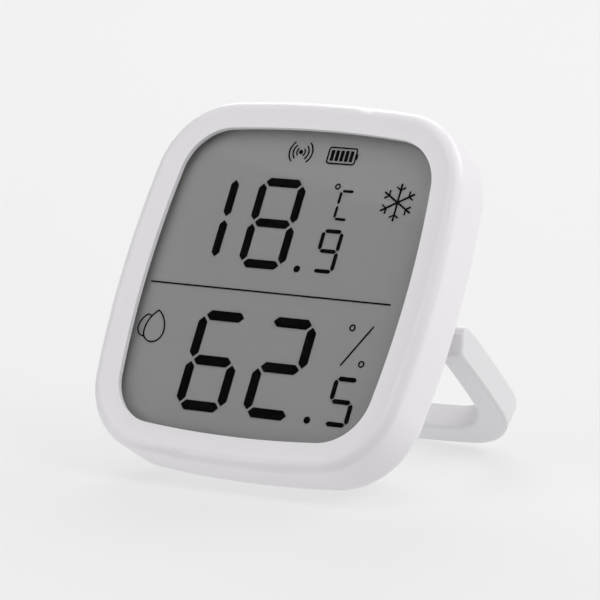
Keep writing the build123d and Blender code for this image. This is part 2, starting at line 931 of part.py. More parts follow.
# The rear shell: the wide body, the raised back that the stand lies on when it is folded,
# and the battery block that the stand folds round.
well_radius = cell_radius + cell_clearance
door_hub_radius = cell_radius + door_hub_margin
door_radius = door_hub_radius + door_flange_lap
door_lug_radius = door_hub_radius + door_lug_overhang
door_lug_depth = door_inner_depth
ledge_depth = door_lug_depth + door_lug_height + door_lug_gap
with BuildPart() as rear_shell:
    with BuildSketch(at_depth(parting_depth)):
        add(case_outline())
    with BuildSketch(at_depth(body_depth)):
        add(pillow(rear_width, rear_height, rear_corner))
    loft(ruled=True)
    fillet(rear_shell.faces().sort_by(Axis.Y)[-1].edges(), body_round)
    with BuildSketch(at_depth(body_depth)):
        add(pillow(back_width, back_height, back_corner))
    extrude(amount=-(back_depth - body_depth))
    fillet(rear_shell.faces().sort_by(Axis.Y)[-1].edges(), back_round)
    with BuildSketch(at_depth(back_depth)):
        RectangleRounded(block_width, block_height, block_corner)
    extrude(amount=-(overall_depth - back_depth))
    fillet(rear_shell.faces().sort_by(Axis.Y)[-1].edges(), block_round)
    # The hollow follows the three steps of the outside.
    with BuildSketch(at_depth(parting_depth)):
        add(case_outline(case_wall))
    extrude(amount=-(body_inner_depth - parting_depth), mode=Mode.SUBTRACT)
    with BuildSketch(at_depth(body_inner_depth)):
        add(pillow(back_width, back_height, back_corner, case_wall))
    extrude(amount=-(back_depth - body_depth), mode=Mode.SUBTRACT)
    with BuildSketch(at_depth(back_depth - case_wall)):
        RectangleRounded(
            block_width - 2 * case_wall, block_height - 2 * case_wall, block_corner - case_wall
        )
    extrude(amount=-(overall_depth - back_depth), mode=Mode.SUBTRACT)
    # Pockets for the snap beads
    with BuildSketch(at_depth(bead_depth - bead_gap)):
        add(case_outline(case_wall - bead_height - bead_gap))
        add(bead_zones(bead_length + 2 * bead_gap), mode=Mode.INTERSECT)
    extrude(amount=-(bead_width + 2 * bead_gap), mode=Mode.SUBTRACT)
    # Screw bosses
    with BuildSketch(at_depth(parts_depth)):
        with GridLocations(screw_spacing_x, screw_spacing_z, 2, 2):
            Circle(screw_radius + boss_wall)
    extrude(amount=-(back_depth - case_wall - parts_depth))
    with BuildSketch(at_depth(parts_depth)):
        with GridLocations(screw_spacing_x, screw_spacing_z, 2, 2):
            Circle(screw_radius)
    extrude(amount=-(screw_length - board_thickness), mode=Mode.SUBTRACT)
    # The cell's well, its door seat and the undercut for the door's lugs
    with BuildSketch(at_depth(well_floor_depth)):
        Circle(well_radius + well_wall)
    extrude(amount=-(overall_depth - case_wall - well_floor_depth))
    with BuildSketch(at_depth(cell_front_depth)):
        Circle(well_radius)
    extrude(amount=-(overall_depth - cell_front_depth), mode=Mode.SUBTRACT)
    with BuildSketch(at_depth(door_lug_depth - door_lug_gap)):
        Circle(door_hub_radius + door_gap)
    extrude(amount=-(overall_depth - door_lug_depth + door_lug_gap), mode=Mode.SUBTRACT)
    with BuildSketch(at_depth(door_lug_depth - door_lug_gap)):
        Circle(door_lug_radius + door_gap)
    extrude(amount=-(door_lug_height + 2 * door_lug_gap), mode=Mode.SUBTRACT)
    with BuildSketch(at_depth(ledge_depth)):
        with PolarLocations(door_hub_radius, door_lug_count, start_angle=-door_twist):
            Rectangle(2 * door_lug_overhang + 2 * door_gap, door_lug_width + 2 * door_gap)
        Circle(door_lug_radius + door_gap, mode=Mode.INTERSECT)
    extrude(amount=-(flange_depth - ledge_depth), mode=Mode.SUBTRACT)
    with BuildSketch(at_depth(flange_depth)):
        Circle(door_radius + door_gap)
    extrude(amount=-door_flange, mode=Mode.SUBTRACT)
    # Slots for the two battery contacts
    with BuildSketch(at_depth(well_floor_depth)):
        Rectangle(
            contact_width + 2 * contact_slot_gap,
            2 * cell_radius * negative_leaf_share + 2 * contact_slot_gap,
        )
    extrude(amount=-well_floor, mode=Mode.SUBTRACT)
    with BuildSketch(at_depth(well_floor_depth)):
        with Locations((positive_x, 0)):
            Rectangle(
                contact_sheet + 2 * contact_slot_gap,
                contact_width + 2 * contact_slot_gap,
            )
    extrude(amount=-(positive_top + contact_slot_gap - well_floor_depth), mode=Mode.SUBTRACT)
    # Pivot bosses on both sides of the block, with the bores for the stand's pins
    boss_face = arm_inside - pivot_boss_gap
    bore_radius = pin_radius + pin_gap
    for side in (1, -1):
        with BuildSketch(Plane.YZ.offset(side * (block_width / 2 - case_wall))):
            with Locations((pivot_depth, -pivot_drop)):
                Circle(bore_radius + pivot_boss_wall)
        extrude(amount=side * (boss_face - block_width / 2 + case_wall))
        with BuildSketch(Plane.YZ.offset(side * (block_width / 2 - case_wall - overrun))):
            with Locations((pivot_depth, -pivot_drop)):
                Circle(bore_radius)
        extrude(amount=side * (boss_face - block_width / 2 + case_wall + overrun), mode=Mode.SUBTRACT)
    # The button's hole
    with BuildSketch(Plane.XY.offset(top_inside - overrun)):
        with Locations((0, side_middle_depth)):
            SlotOverall(button_length + 2 * button_gap, button_width + 2 * button_gap)
    extrude(amount=case_wall + 2 * overrun, mode=Mode.SUBTRACT)
    # Air slots beside the humidity sensor
    with BuildSketch(Plane.YZ.offset(-case_width / 2 - overrun)):
        with Locations((side_middle_depth, sensor_z)):
            with GridLocations(0, vent_pitch, 1, vent_count):
                SlotOverall(side_room - 2 * vent_end_gap, vent_width)
    extrude(amount=case_wall + 2 * overrun, mode=Mode.SUBTRACT)
rear_shell.part.label = "rear_shell"

# The round battery door: a flange, a hub with three lugs, and a slot for a coin.
with BuildPart() as battery_door:
    with BuildSketch(at_depth(flange_depth)):
        Circle(door_radius)
    extrude(amount=-door_flange)
    fillet(battery_door.edges().filter_by(GeomType.CIRCLE).sort_by(Axis.Y)[-1], door_round)
    with BuildSketch(at_depth(door_inner_depth)):
        Circle(door_hub_radius)
    extrude(amount=-(flange_depth - door_inner_depth))
    with BuildSketch(at_depth(door_lug_depth)):
        with PolarLocations(door_hub_radius, door_lug_count):
            Rectangle(2 * door_lug_overhang, door_lug_width)
        Circle(door_lug_radius, mode=Mode.INTERSECT)
    extrude(amount=-door_lug_height)
    with BuildSketch(at_depth(overall_depth)):
        SlotOverall(coin_slot_length, coin_slot_width)
    extrude(amount=coin_slot_depth, mode=Mode.SUBTRACT)
battery_door.part.label = "battery_door"

# The stand is drawn open, as in use. It swings about the X axis through its pivot: "along"
# runs down its arms, and "forward" is the side that lies on the raised back when folded.
pivot = Vector(0, pivot_depth, -pivot_drop)
opened = math.radians(stand_opening)
along = Vector(0, math.sin(opened), -math.cos(opened))
forward = Vector(0, -math.cos(opened), -math.sin(opened))

# Its reach puts the bar on the same floor as the casing's rounded bottom edge.
tilt = math.radians(lean)
level = Vector(0, -math.sin(tilt), math.cos(tilt))
edge_middle = Vector(0, body_depth - body_round, -(rear_height / 2 - body_round))
floor_level = edge_middle.dot(level) - body_round
bar_edge = forward * (stand_thickness / 2 - stand_round) - along * stand_round
stand_reach = (floor_level + stand_round - (pivot + bar_edge).dot(level)) / along.dot(level)

arm_plane = Plane(origin=pivot, x_dir=(1, 0, 0), z_dir=forward)
side_plane = Plane(origin=pivot, x_dir=along, z_dir=(1, 0, 0))


def strap_outline(half_width, reach, corner):
    """The U's outline, with bowed arms that are widest below the pivot, and a bowed bar."""
    half_height = reach - arm_bow_drop
    side_radius = arm_bow - (stand_width / 2 - half_width)
    bar_radius = bar_bow - (stand_reach - reach)
    low, middle, high = corner_points(half_width, half_height, side_radius, bar_radius, corner)
    top = arm_bow_drop + lug_reach + overrun
    arm_middle = (top - low.Y) / 2
    top_x, middle_x = (
        half_width - side_radius + math.sqrt(side_radius**2 - height**2) for height in (top, arm_middle)
    )
    with BuildSketch() as outline:
        with BuildLine():
            Line((-top_x, top), (top_x, top))
            for side in (1, -1):
                ThreePointArc((side * top_x, top), (side * middle_x, arm_middle), (side * low.X, -low.Y))
                ThreePointArc(
                    (side * low.X, -low.Y), (side * middle.X, -middle.Y), (side * high.X, -high.Y)
                )
            ThreePointArc((-high.X, -high.Y), (0, -half_height), (high.X, -high.Y))
        make_face()
    return outline.sketch.moved(Location((0, -arm_bow_drop)))


with BuildPart() as stand:
    with BuildSketch(arm_plane.offset(-stand_thickness / 2)):
        add(strap_outline(stand_width / 2, stand_reach, stand_corner))
        add(
            strap_outline(arm_widest_inside, stand_reach - stand_bar_width, stand_inner_corner),
            mode=Mode.SUBTRACT,
        )
    extrude(amount=stand_thickness)
    # The lugs' side profile: bevelled where they face the raised back, rounded behind.
    half = stand_thickness / 2
    with BuildSketch(side_plane.offset(-stand_width / 2)):
        with BuildLine():
            FilletPolyline(
                (stand_reach + overrun, -half),
                (lug_bevel_length - lug_reach, -half),
                (-lug_reach, lug_bevel_height - half),
                (-lug_reach, half),
                (stand_reach + overrun, half),
                radius=(lug_bevel_round, lug_tip_round, lug_round),
            )
            Line((stand_reach + overrun, half), (stand_reach + overrun, -half))
        make_face()
    extrude(amount=stand_width, mode=Mode.INTERSECT)
    broad_faces = stand.faces().filter_by(lambda face: abs(face.normal_at().dot(forward)) > 1 - slight)
    fillet(broad_faces.edges().filter_by(lambda edge: edge.length > stand_arm_width), stand_round)
    # The pins are moulded on the lugs' inner faces.
    pin_end = block_width / 2 - case_wall - pin_overreach
    for side in (1, -1):
        with BuildSketch(Plane.YZ.offset(side * arm_widest_inside)):
            with Locations((pivot_depth, -pivot_drop)):
                Circle(pin_radius)
        extrude(amount=-side * (arm_widest_inside - pin_end))
stand.part.label = "stand"

pieces = [
    front_frame,
    display_tape,
    front_polarizer,
    front_glass,
    temperature_digits,
    humidity_digits,
    display_icons,
    rear_glass,
    reflector,
    display_holder,
    contact_strip,
    main_board,
    display_driver,
    radio_module,
    radio_shield,
    humidity_sensor,
    sensor_collar,
    board_components,
    board_screws,
    button_cap,
    switch_body,
    switch_plunger,
    coin_cell,
    negative_contact,
    positive_contact,
    rear_shell,
    battery_door,
    stand,
]

# At rest the casing leans back on the open stand. The origin is on the floor, under the
# middle of the whole object's box.
leaning = Location((0, 0, 0), (-lean, 0, 0))
boxes = [piece.part.moved(leaning).bounding_box() for piece in pieces]
front_end = min(box.min.Y for box in boxes)
rear_end = max(box.max.Y for box in boxes)
floor_end = min(box.min.Z for box in boxes)
standing = Location((0, -(front_end + rear_end) / 2, -floor_end)) * leaning
for piece in pieces:
    placed = piece.part.moved(standing)
    placed.label = piece.part.label
    export_step(placed, f"parts/{placed.label}.step")
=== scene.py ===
# %% [markdown]
# A small white sensor leans back on its fold-out stand and shows the temperature and the
# humidity on a grey segment display. The engineering model already holds every piece in its
# true place, so this lesson is about looks: what each piece is made of, how it was finished,
# and how soft studio light falls on it. Loading the model comes first, because every later
# step hangs on its bodies.

# %% Load the model and measure it
import json
import math

import bmesh
import bpy
from mathutils import Matrix, Vector


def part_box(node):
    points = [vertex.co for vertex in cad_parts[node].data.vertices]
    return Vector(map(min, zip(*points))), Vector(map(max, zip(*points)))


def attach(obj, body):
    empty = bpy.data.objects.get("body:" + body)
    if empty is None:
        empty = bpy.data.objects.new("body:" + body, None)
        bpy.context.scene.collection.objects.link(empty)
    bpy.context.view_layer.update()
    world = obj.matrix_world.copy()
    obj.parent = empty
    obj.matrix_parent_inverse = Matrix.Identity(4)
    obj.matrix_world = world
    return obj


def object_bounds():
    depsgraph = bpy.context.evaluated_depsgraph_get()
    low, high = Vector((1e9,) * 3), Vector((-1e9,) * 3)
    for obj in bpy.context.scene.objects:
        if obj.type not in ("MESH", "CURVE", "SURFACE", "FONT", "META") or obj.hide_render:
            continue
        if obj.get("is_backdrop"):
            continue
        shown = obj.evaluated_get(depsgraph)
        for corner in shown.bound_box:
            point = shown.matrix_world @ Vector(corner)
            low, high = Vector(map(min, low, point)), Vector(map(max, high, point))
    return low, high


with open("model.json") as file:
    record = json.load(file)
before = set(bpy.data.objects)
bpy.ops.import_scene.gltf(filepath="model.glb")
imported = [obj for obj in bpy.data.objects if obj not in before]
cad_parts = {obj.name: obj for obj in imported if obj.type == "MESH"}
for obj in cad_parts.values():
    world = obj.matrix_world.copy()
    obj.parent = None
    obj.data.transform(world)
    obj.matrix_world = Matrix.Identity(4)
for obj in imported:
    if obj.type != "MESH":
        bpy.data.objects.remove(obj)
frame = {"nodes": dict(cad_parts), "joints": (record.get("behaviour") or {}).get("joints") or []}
nodes = frame["nodes"]
low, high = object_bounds()
print("pieces", len(nodes), "size in mm", [round(1000 * (b - a), 2) for a, b in zip(low, high)])

# %% [markdown]
# The casing leans back, so nothing on it lies along the world's axes. The battery door turns
# about an axis that points straight out of the back, and the model's record gives that axis.
# From it come the two directions in which everything on the casing lies: out of the back and
# up the face. Patterns are laid along them, and so are the signs printed on the back.

# %% The casing's own directions
joints = {joint["name"]: joint for joint in frame["joints"]}
out_of_back = Vector(joints["door_twist"]["axis"])
up_face = Vector((0, -out_of_back.z, out_of_back.y))
across = Vector((1, 0, 0))
lean = math.atan2(-out_of_back.z, out_of_back.y)
door_middle = Vector(joints["door_twist"]["pos_m"])
print("the casing leans back by", round(math.degrees(lean), 2), "degrees")

# %% [markdown]
# Colours are chosen as anyone picks them on a screen, as sRGB hex values. Shaders reckon in
# linear light, so one function turns the one into the other. A second small function adds a
# node to a material with its settings and its links, which keeps each recipe below short. Sizes
# of patterns are given in millimetres, and a third turns them into a texture's scale.

# %% Small helpers for materials
MM = 0.001


def linear(colour):
    """The linear colour, with full alpha, of an sRGB hex value such as #dcd9de."""
    levels = [int(colour[i:i + 2], 16) / 255 for i in (1, 3, 5)]
    return [v / 12.92 if v <= 0.04045 else ((v + 0.055) / 1.055) ** 2.4 for v in levels] + [1.0]


def add(material, kind, settings=None, links=None):
    """Adds a node. Settings fill its sockets or its properties, and links feed its sockets."""
    made = material.node_tree.nodes.new(kind)
    for name, value in (settings or {}).items():
        if isinstance(name, int) or name in made.inputs:
            made.inputs[name].default_value = value
        else:
            setattr(made, name, value)
    for name, source in (links or {}).items():
        material.node_tree.links.new(source, made.inputs[name])
    return made


def per_mm(size):
    """The texture scale whose features are about this many millimetres across."""
    return 1 / (size * MM)


def start(name, settings):
    """A material that holds one Principled shader. Returns the material and its shader."""
    material = bpy.data.materials.new(name)
    material.use_nodes = True
    shader = material.node_tree.nodes["Principled BSDF"]
    for socket, value in settings.items():
        shader.inputs[socket].default_value = value
    return material, shader


def join(material, source, shader, socket):
    """Feeds one of the shader's sockets from another node's socket."""
    material.node_tree.links.new(source, shader.inputs[socket])


print("white in linear light", [round(v, 3) for v in linear("#efefef")])

# %% [markdown]
# Nearly every finish here is the same idea: a fine noise, laid along the casing, moves the
# colour a little between two close tones, makes the gloss slightly uneven and dents the skin.
# What differs from plastic to ceramic to foam is the size of the noise, how far apart the tones
# are and how deep the dents go. So one function mixes such a skin onto a shader.

# %% An uneven skin
def skin(material, shader, tones, tone_mm, grain_mm, gloss, dent_mm, stretch=(1, 1, 1)):
    """Uneven colour, gloss and surface. Stretch draws the grain out along the casing's axes."""
    place = add(material, "ShaderNodeTexCoord").outputs["Object"]
    along = add(material, "ShaderNodeMapping", {"Rotation": (lean, 0, 0)}, {"Vector": place})
    drawn = add(material, "ShaderNodeMapping", {"Scale": stretch}, {"Vector": along.outputs["Vector"]})
    clouds = add(material, "ShaderNodeTexNoise",
                 {"Scale": per_mm(tone_mm), "Detail": 3.0, "Roughness": 0.45},
                 {"Vector": drawn.outputs["Vector"]})
    tint = add(material, "ShaderNodeMix",
               {"data_type": "RGBA", 6: linear(tones[0]), 7: linear(tones[1])},
               {0: clouds.outputs["Fac"]})
    grain = add(material, "ShaderNodeTexNoise",
                {"Scale": per_mm(grain_mm), "Detail": 4.0, "Roughness": 0.6},
                {"Vector": drawn.outputs["Vector"]})
    sheen = add(material, "ShaderNodeMapRange", {"To Min": gloss[0], "To Max": gloss[1]},
                {"Value": grain.outputs["Fac"]})
    dents = add(material, "ShaderNodeBump", {"Strength": 0.2, "Distance": dent_mm * MM},
                {"Height": grain.outputs["Fac"]})
    join(material, tint.outputs[2], shader, "Base Color")
    join(material, sheen.outputs["Result"], shader, "Roughness")
    join(material, dents.outputs["Normal"], shader, "Normal")


# %% [markdown]
# The casing, the stand, the door and the button are ABS, injection moulded in white. The steel
# mould was spark eroded, which leaves the plastic with a satin skin of very fine pits. The real
# pits are under a tenth of a millimetre and would vanish in the picture, so they are drawn about
# three times as coarse and very shallow. Wide, faint clouds in the colour are the marks that the
# melt leaves where it cooled unevenly.

# %% Satin white ABS
ABS_IOR = 1.53
FLOW_MM = 16.0
PIT_MM = 0.3
PIT_DEPTH_MM = 0.012


def satin_abs(name, dark_tone, light_tone, gloss):
    """Spark-eroded white ABS: fine pits, faint flow clouds, a slightly uneven gloss."""
    material, shader = start(name, {"IOR": ABS_IOR})
    skin(material, shader, (dark_tone, light_tone), FLOW_MM, PIT_MM, gloss, PIT_DEPTH_MM)
    return material


casing_white = satin_abs("ABS_satin_white_casing", "#ece9ed", "#eeebef", (0.37, 0.48))
# The stand is the same white ABS as the casing, but its two tones are darker: that is painted shade, for
# the shade that falls on its lower faces under the casing.
stand_white_painted_shade = satin_abs("ABS_satin_white_stand_painted_shade", "#e3e2e4", "#e6e5e7", (0.41, 0.52))
door_white = satin_abs("ABS_satin_white_door", "#e9e8ea", "#ecebed", (0.39, 0.5))
button_white = satin_abs("ABS_satin_white_button", "#e5e4e7", "#e8e7ea", (0.33, 0.44))
tray_white = satin_abs("ABS_natural_white_tray", "#e5e4de", "#e9e8e2", (0.45, 0.56))
print("made", casing_white.name, stand_white_painted_shade.name, door_white.name, button_white.name, tray_white.name)

# %% [markdown]
# A segment display is a sandwich. On top lies the polarizer, a grey plastic film with a hard
# satin coat, and under it the front sheet of clear float glass. The film swallows some light on
# the way in and again on the way out. An Alpha below one lets the light of the lamps through as
# well, without the noise that true refraction would bring. A ray crosses four of these faces on
# its way in and four more towards a lamp. Cycles lets a ray through eight such faces as it comes,
# and ends it in black after that, so the scene allows more.

# %% The display's film and front glass
CLEAR_FACES_MOST = 32
FILM_CLOUD_MM = 0.4
GLASS_CLOUD_MM = 12.0


def clear_sheet(name, settings, cloud_mm, gloss):
    """A see-through sheet whose gloss wavers a little from place to place."""
    material, shader = start(name, settings)
    place = add(material, "ShaderNodeTexCoord").outputs["Object"]
    clouds = add(material, "ShaderNodeTexNoise", {"Scale": per_mm(cloud_mm), "Detail": 2.0},
                 {"Vector": place})
    haze = add(material, "ShaderNodeMapRange", {"To Min": gloss[0], "To Max": gloss[1]},
               {"Value": clouds.outputs["Fac"]})
    join(material, haze.outputs["Result"], shader, "Roughness")
    return material


film = clear_sheet("polarizer_film_hard_coated", {
    "Base Color": linear("#08090a"), "IOR": 1.49, "Specular IOR Level": 0.1, "Alpha": 0.12,
}, FILM_CLOUD_MM, (0.2, 0.26))
glass = clear_sheet("float_glass_clear", {
    "Base Color": linear("#101512"), "IOR": 1.52, "Specular IOR Level": 0.2, "Alpha": 0.03,
}, GLASS_CLOUD_MM, (0.02, 0.04))
bpy.context.scene.cycles.transparent_max_bounces = CLEAR_FACES_MOST
print("made", film.name, glass.name)

# %% [markdown]
# Where the liquid crystal is switched on it turns the light so that nothing comes back: the
# segments are the darkest thing on the object, with a trace of blue. The reflector behind the
# glass is an aluminised film with a pearly scatter layer, and it is bonded to the rear glass, so
# both sheets are dressed in it. It is mid grey, with a fine glitter that is drawn at a quarter of
# a millimetre, and its smooth top keeps a weak mirror image of bright things, which the coat
# gives. Both are a noise between two close tones, so one function makes them.

# %% Dark segments and pearly reflector
CRYSTAL_CLOUD_MM = 3.0
GLITTER_MM = 0.25


def mottled(name, settings, tones, mottle_mm, detail):
    """A layer whose colour wavers between two close tones."""
    material, shader = start(name, settings)
    place = add(material, "ShaderNodeTexCoord").outputs["Object"]
    spots = add(material, "ShaderNodeTexNoise", {"Scale": per_mm(mottle_mm), "Detail": detail},
                {"Vector": place})
    tint = add(material, "ShaderNodeMix",
               {"data_type": "RGBA", 6: linear(tones[0]), 7: linear(tones[1])},
               {0: spots.outputs["Fac"]})
    join(material, tint.outputs[2], shader, "Base Color")
    return material


segments = mottled("liquid_crystal_dark", {"Roughness": 0.6, "Specular IOR Level": 0.05},
                   ("#020203", "#040406"), CRYSTAL_CLOUD_MM, 2.0)
pearl = mottled("reflector_film_pearly", {
    "Roughness": 0.7, "Coat Weight": 0.6, "Coat Roughness": 0.02, "Coat IOR": 1.5,
}, ("#bebfbe", "#c3c4c3"), GLITTER_MM, 1.0)
print("made", segments.name, pearl.name)

# %% [markdown]
# The circuit boards are glass cloth soaked in epoxy, with a coloured solder mask on top. The
# cloth's weave shows faintly through the mask, because the mask sinks a little between the
# threads. Two bands of waves at right angles make the weave: threads lie about half a
# millimetre apart. Chips and the switch are moulded in black epoxy or nylon, and look the same
# but for their gloss. The grains of the filler in them are far below a tenth of a millimetre,
# and are drawn at about that size.

# %% Circuit boards and moulded black resin
THREAD_MM = 0.5
WEAVE_DEPTH_MM = 0.02
WAVE_RADIANS = 20


def waves(spacing):
    """The Wave texture's scale for crests this many millimetres apart: one unit is 20 radians."""
    return per_mm(spacing) * 2 * math.pi / WAVE_RADIANS


def laminate(name, mask_tone, light_tone):
    """Glass cloth laminate under a glossy solder mask, with its weave laid along the casing."""
    material, shader = start(name, {"IOR": 1.55, "Coat Weight": 0.4, "Coat Roughness": 0.15})
    skin(material, shader, (mask_tone, light_tone), tone_mm=6.0, grain_mm=0.4, gloss=(0.3, 0.42),
         dent_mm=0.01)
    place = add(material, "ShaderNodeTexCoord").outputs["Object"]
    laid = add(material, "ShaderNodeMapping", {"Rotation": (lean, 0, 0)}, {"Vector": place})
    warp, weft = [
        add(material, "ShaderNodeTexWave", {"Scale": waves(THREAD_MM), "bands_direction": direction},
            {"Vector": laid.outputs["Vector"]})
        for direction in ("X", "Z")
    ]
    cloth = add(material, "ShaderNodeMath", {"operation": "MULTIPLY"},
                {0: warp.outputs["Fac"], 1: weft.outputs["Fac"]})
    dents = add(material, "ShaderNodeBump", {"Strength": 0.3, "Distance": WEAVE_DEPTH_MM * MM},
                {"Height": cloth.outputs["Value"]})
    join(material, dents.outputs["Normal"], shader, "Normal")
    return material


def black_resin(name, tones, gloss):
    """Moulded black resin: a dull skin with the fine grain of its mineral filler."""
    material, shader = start(name, {"IOR": 1.56})
    skin(material, shader, tones, tone_mm=1.2, grain_mm=0.12, gloss=gloss, dent_mm=0.015)
    return material


board_green = laminate("FR4_laminate_green_mask", "#0b4a2c", "#11603a")
module_blue = laminate("FR4_laminate_blue_mask", "#101a3a", "#16244c")
chip_black = black_resin("epoxy_moulding_black", ("#161617", "#1e1e1f"), (0.42, 0.55))
sensor_black = black_resin("epoxy_moulding_sensor", ("#1b1b1d", "#242426"), (0.4, 0.5))
switch_black = black_resin("nylon_glass_filled_black", ("#141415", "#1c1c1d"), (0.35, 0.5))
print("made", board_green.name, module_blue.name, chip_black.name, sensor_black.name, switch_black.name)

# %% [markdown]
# The metals inside are sheet and wire: tinned steel over the radio, zinc-plated screws, spring
# bronze contacts and the coin cell's stainless can. Rolling leaves streaks along the sheet, so
# their grain is drawn out one way. A metal's colour is the colour of its mirror, so Metallic is
# one, and only the gloss says how it was finished.

# %% Metals
def rolled_metal(name, tones, gloss, streak):
    """Plated or rolled sheet. A streak well below one draws the grain out up the face."""
    material, shader = start(name, {"Metallic": 1.0})
    skin(material, shader, tones, tone_mm=2.0, grain_mm=0.15, gloss=gloss, dent_mm=0.008,
         stretch=(1, 1, streak))
    return material


shield_tin = rolled_metal("tinned_steel_sheet", ("#b9bab8", "#c6c7c5"), (0.28, 0.4), 0.15)
screw_zinc = rolled_metal("zinc_plated_steel", ("#a7abb2", "#bbbfc6"), (0.25, 0.38), 1)
cell_steel = rolled_metal("stainless_steel_can", ("#c3c4c6", "#d0d1d3"), (0.18, 0.3), 0.3)
spring_bronze = rolled_metal("phosphor_bronze_spring", ("#b98d52", "#c99c60"), (0.24, 0.36), 0.12)
print("made", shield_tin.name, screw_zinc.name, cell_steel.name, spring_bronze.name)

# %% [markdown]
# What is left is soft or brittle. Two foams hold the glass and the sensor: their closed cells
# are rounded dents, which a cell pattern gives better than noise. The contact strip is silicone
# rubber with hundreds of thin conducting layers side by side, a fifth of a millimetre apart and
# drawn twice as coarse. The small parts on the board are fired ceramic, and the switch's plunger
# is tan acetal.

# %% Foam, layered rubber, ceramic and acetal
FOAM_CELL_MM = 0.35
CELL_DEPTH_MM = 0.1
RUBBER_LAYER_MM = 0.4


def foam(name, tones):
    """Closed-cell foam: rounded dents, dull all over."""
    material, shader = start(name, {"Roughness": 0.9, "IOR": 1.45})
    place = add(material, "ShaderNodeTexCoord").outputs["Object"]
    cells = add(material, "ShaderNodeTexVoronoi", {"Scale": per_mm(FOAM_CELL_MM)}, {"Vector": place})
    # The colour follows the dents: the darker tone lies in the middle of each cell, which is painted shade
    # in its hollow, and the lighter tone on its rim.
    tint = add(material, "ShaderNodeMix",
               {"data_type": "RGBA", 6: linear(tones[0]), 7: linear(tones[1])},
               {0: cells.outputs["Distance"]})
    dents = add(material, "ShaderNodeBump", {"Strength": 0.6, "Distance": CELL_DEPTH_MM * MM},
                {"Height": cells.outputs["Distance"]})
    join(material, tint.outputs[2], shader, "Base Color")
    join(material, dents.outputs["Normal"], shader, "Normal")
    return material


tape_white = foam("acrylic_foam_tape_white", ("#c9c8c4", "#dddcd8"))
collar_grey = foam("polyurethane_foam_grey", ("#2e2e30", "#434346"))

rubber, rubber_shader = start("silicone_rubber_layered", {"Roughness": 0.55, "IOR": 1.43})
rubber_place = add(rubber, "ShaderNodeTexCoord").outputs["Object"]
layers = add(rubber, "ShaderNodeTexWave", {"Scale": waves(RUBBER_LAYER_MM), "bands_direction": "X"},
             {"Vector": rubber_place})
stripe = add(rubber, "ShaderNodeMix",
             {"data_type": "RGBA", 6: linear("#1b1b1c"), 7: linear("#8e8c86")},
             {0: layers.outputs["Fac"]})
join(rubber, stripe.outputs[2], rubber_shader, "Base Color")

ceramic, ceramic_shader = start("fired_ceramic_tan", {"IOR": 1.6})
skin(ceramic, ceramic_shader, ("#7d6248", "#9a7c5e"), tone_mm=0.8, grain_mm=0.2, gloss=(0.45, 0.6),
     dent_mm=0.01)
acetal, acetal_shader = start("acetal_moulded_tan", {"IOR": 1.48})
skin(acetal, acetal_shader, ("#a08f78", "#a8977f"), tone_mm=2.0, grain_mm=0.2, gloss=(0.3, 0.4),
     dent_mm=0.006)
print("made", tape_white.name, collar_grey.name, rubber.name, ceramic.name, acetal.name)

# %% [markdown]
# Now each piece of the model gets its material in the slot that it already has. Its shape is
# right as it is, so nothing else about it changes.

# %% Dress every piece of the model
DRESSES = {
    casing_white: ("front_frame", "rear_shell"),
    stand_white_painted_shade: ("stand",),
    door_white: ("battery_door",),
    button_white: ("button_cap",),
    tray_white: ("display_holder",),
    film: ("front_polarizer",),
    glass: ("front_glass",),
    segments: ("temperature_digits", "humidity_digits", "display_icons"),
    pearl: ("rear_glass", "reflector"),
    board_green: ("main_board",),
    module_blue: ("radio_module",),
    chip_black: ("display_driver",),
    sensor_black: ("humidity_sensor",),
    switch_black: ("switch_body",),
    shield_tin: ("radio_shield",),
    screw_zinc: ("board_screws",),
    cell_steel: ("coin_cell",),
    spring_bronze: ("negative_contact", "positive_contact"),
    tape_white: ("display_tape",),
    collar_grey: ("sensor_collar",),
    rubber: ("contact_strip",),
    ceramic: ("board_components",),
    acetal: ("switch_plunger",),
}
for material, names in DRESSES.items():
    for name in names:
        for slot in nodes[name].material_slots:
            slot.material = material
dressed = sorted(name for names in DRESSES.values() for name in names)
print("dressed", len(dressed), "of", len(nodes), "left", sorted(set(nodes) - set(dressed)))

# %% [markdown]
# The battery door turns a little before it lifts off, and small signs tell which way it
# stands: a pointer on the door, a dot where the door is locked and a ring where it is free.
# They are pad printed in grey ink, a film a few hundredths of a millimetre thick. Each sign
# starts as a flat circle of a few or many sides and gets that thickness, then it is laid on the
# back with its underside sunk into the plastic, so that no two faces lie in one plane. The
# pointer rides on the door, so it turns with it.

# %% Signs for the battery door
INK_MM, SUNK_MM = 0.05, 0.02
SIGN_MM = 1.1
SIGN_FROM_RIM_MM = 2.4
RING_LINE_MM = 0.3
ROUND_SIDES = 32
POINTER_SIDES = 3
POINTER_WIDE = 0.6
UNLOCKED = math.radians(joints["door_twist"]["range_deg"][1])

ink, ink_shader = start("pad_print_ink_grey", {"IOR": 1.5})
skin(ink, ink_shader, ("#77787a", "#7f8082"), tone_mm=3.0, grain_mm=0.15, gloss=(0.45, 0.6),
     dent_mm=0.004)

door_points = [vertex.co for vertex in nodes["battery_door"].data.vertices]
door_rim = max((point - door_middle).length for point in door_points
               if abs((point - door_middle).dot(out_of_back)) < SUNK_MM * MM)
on_door, beside_door = door_rim - SIGN_FROM_RIM_MM * MM, door_rim + SIGN_FROM_RIM_MM * MM


def put(name, data):
    """Adds an object with this data to the scene, at the origin."""
    made = bpy.data.objects.new(name, data)
    bpy.context.scene.collection.objects.link(made)
    return made


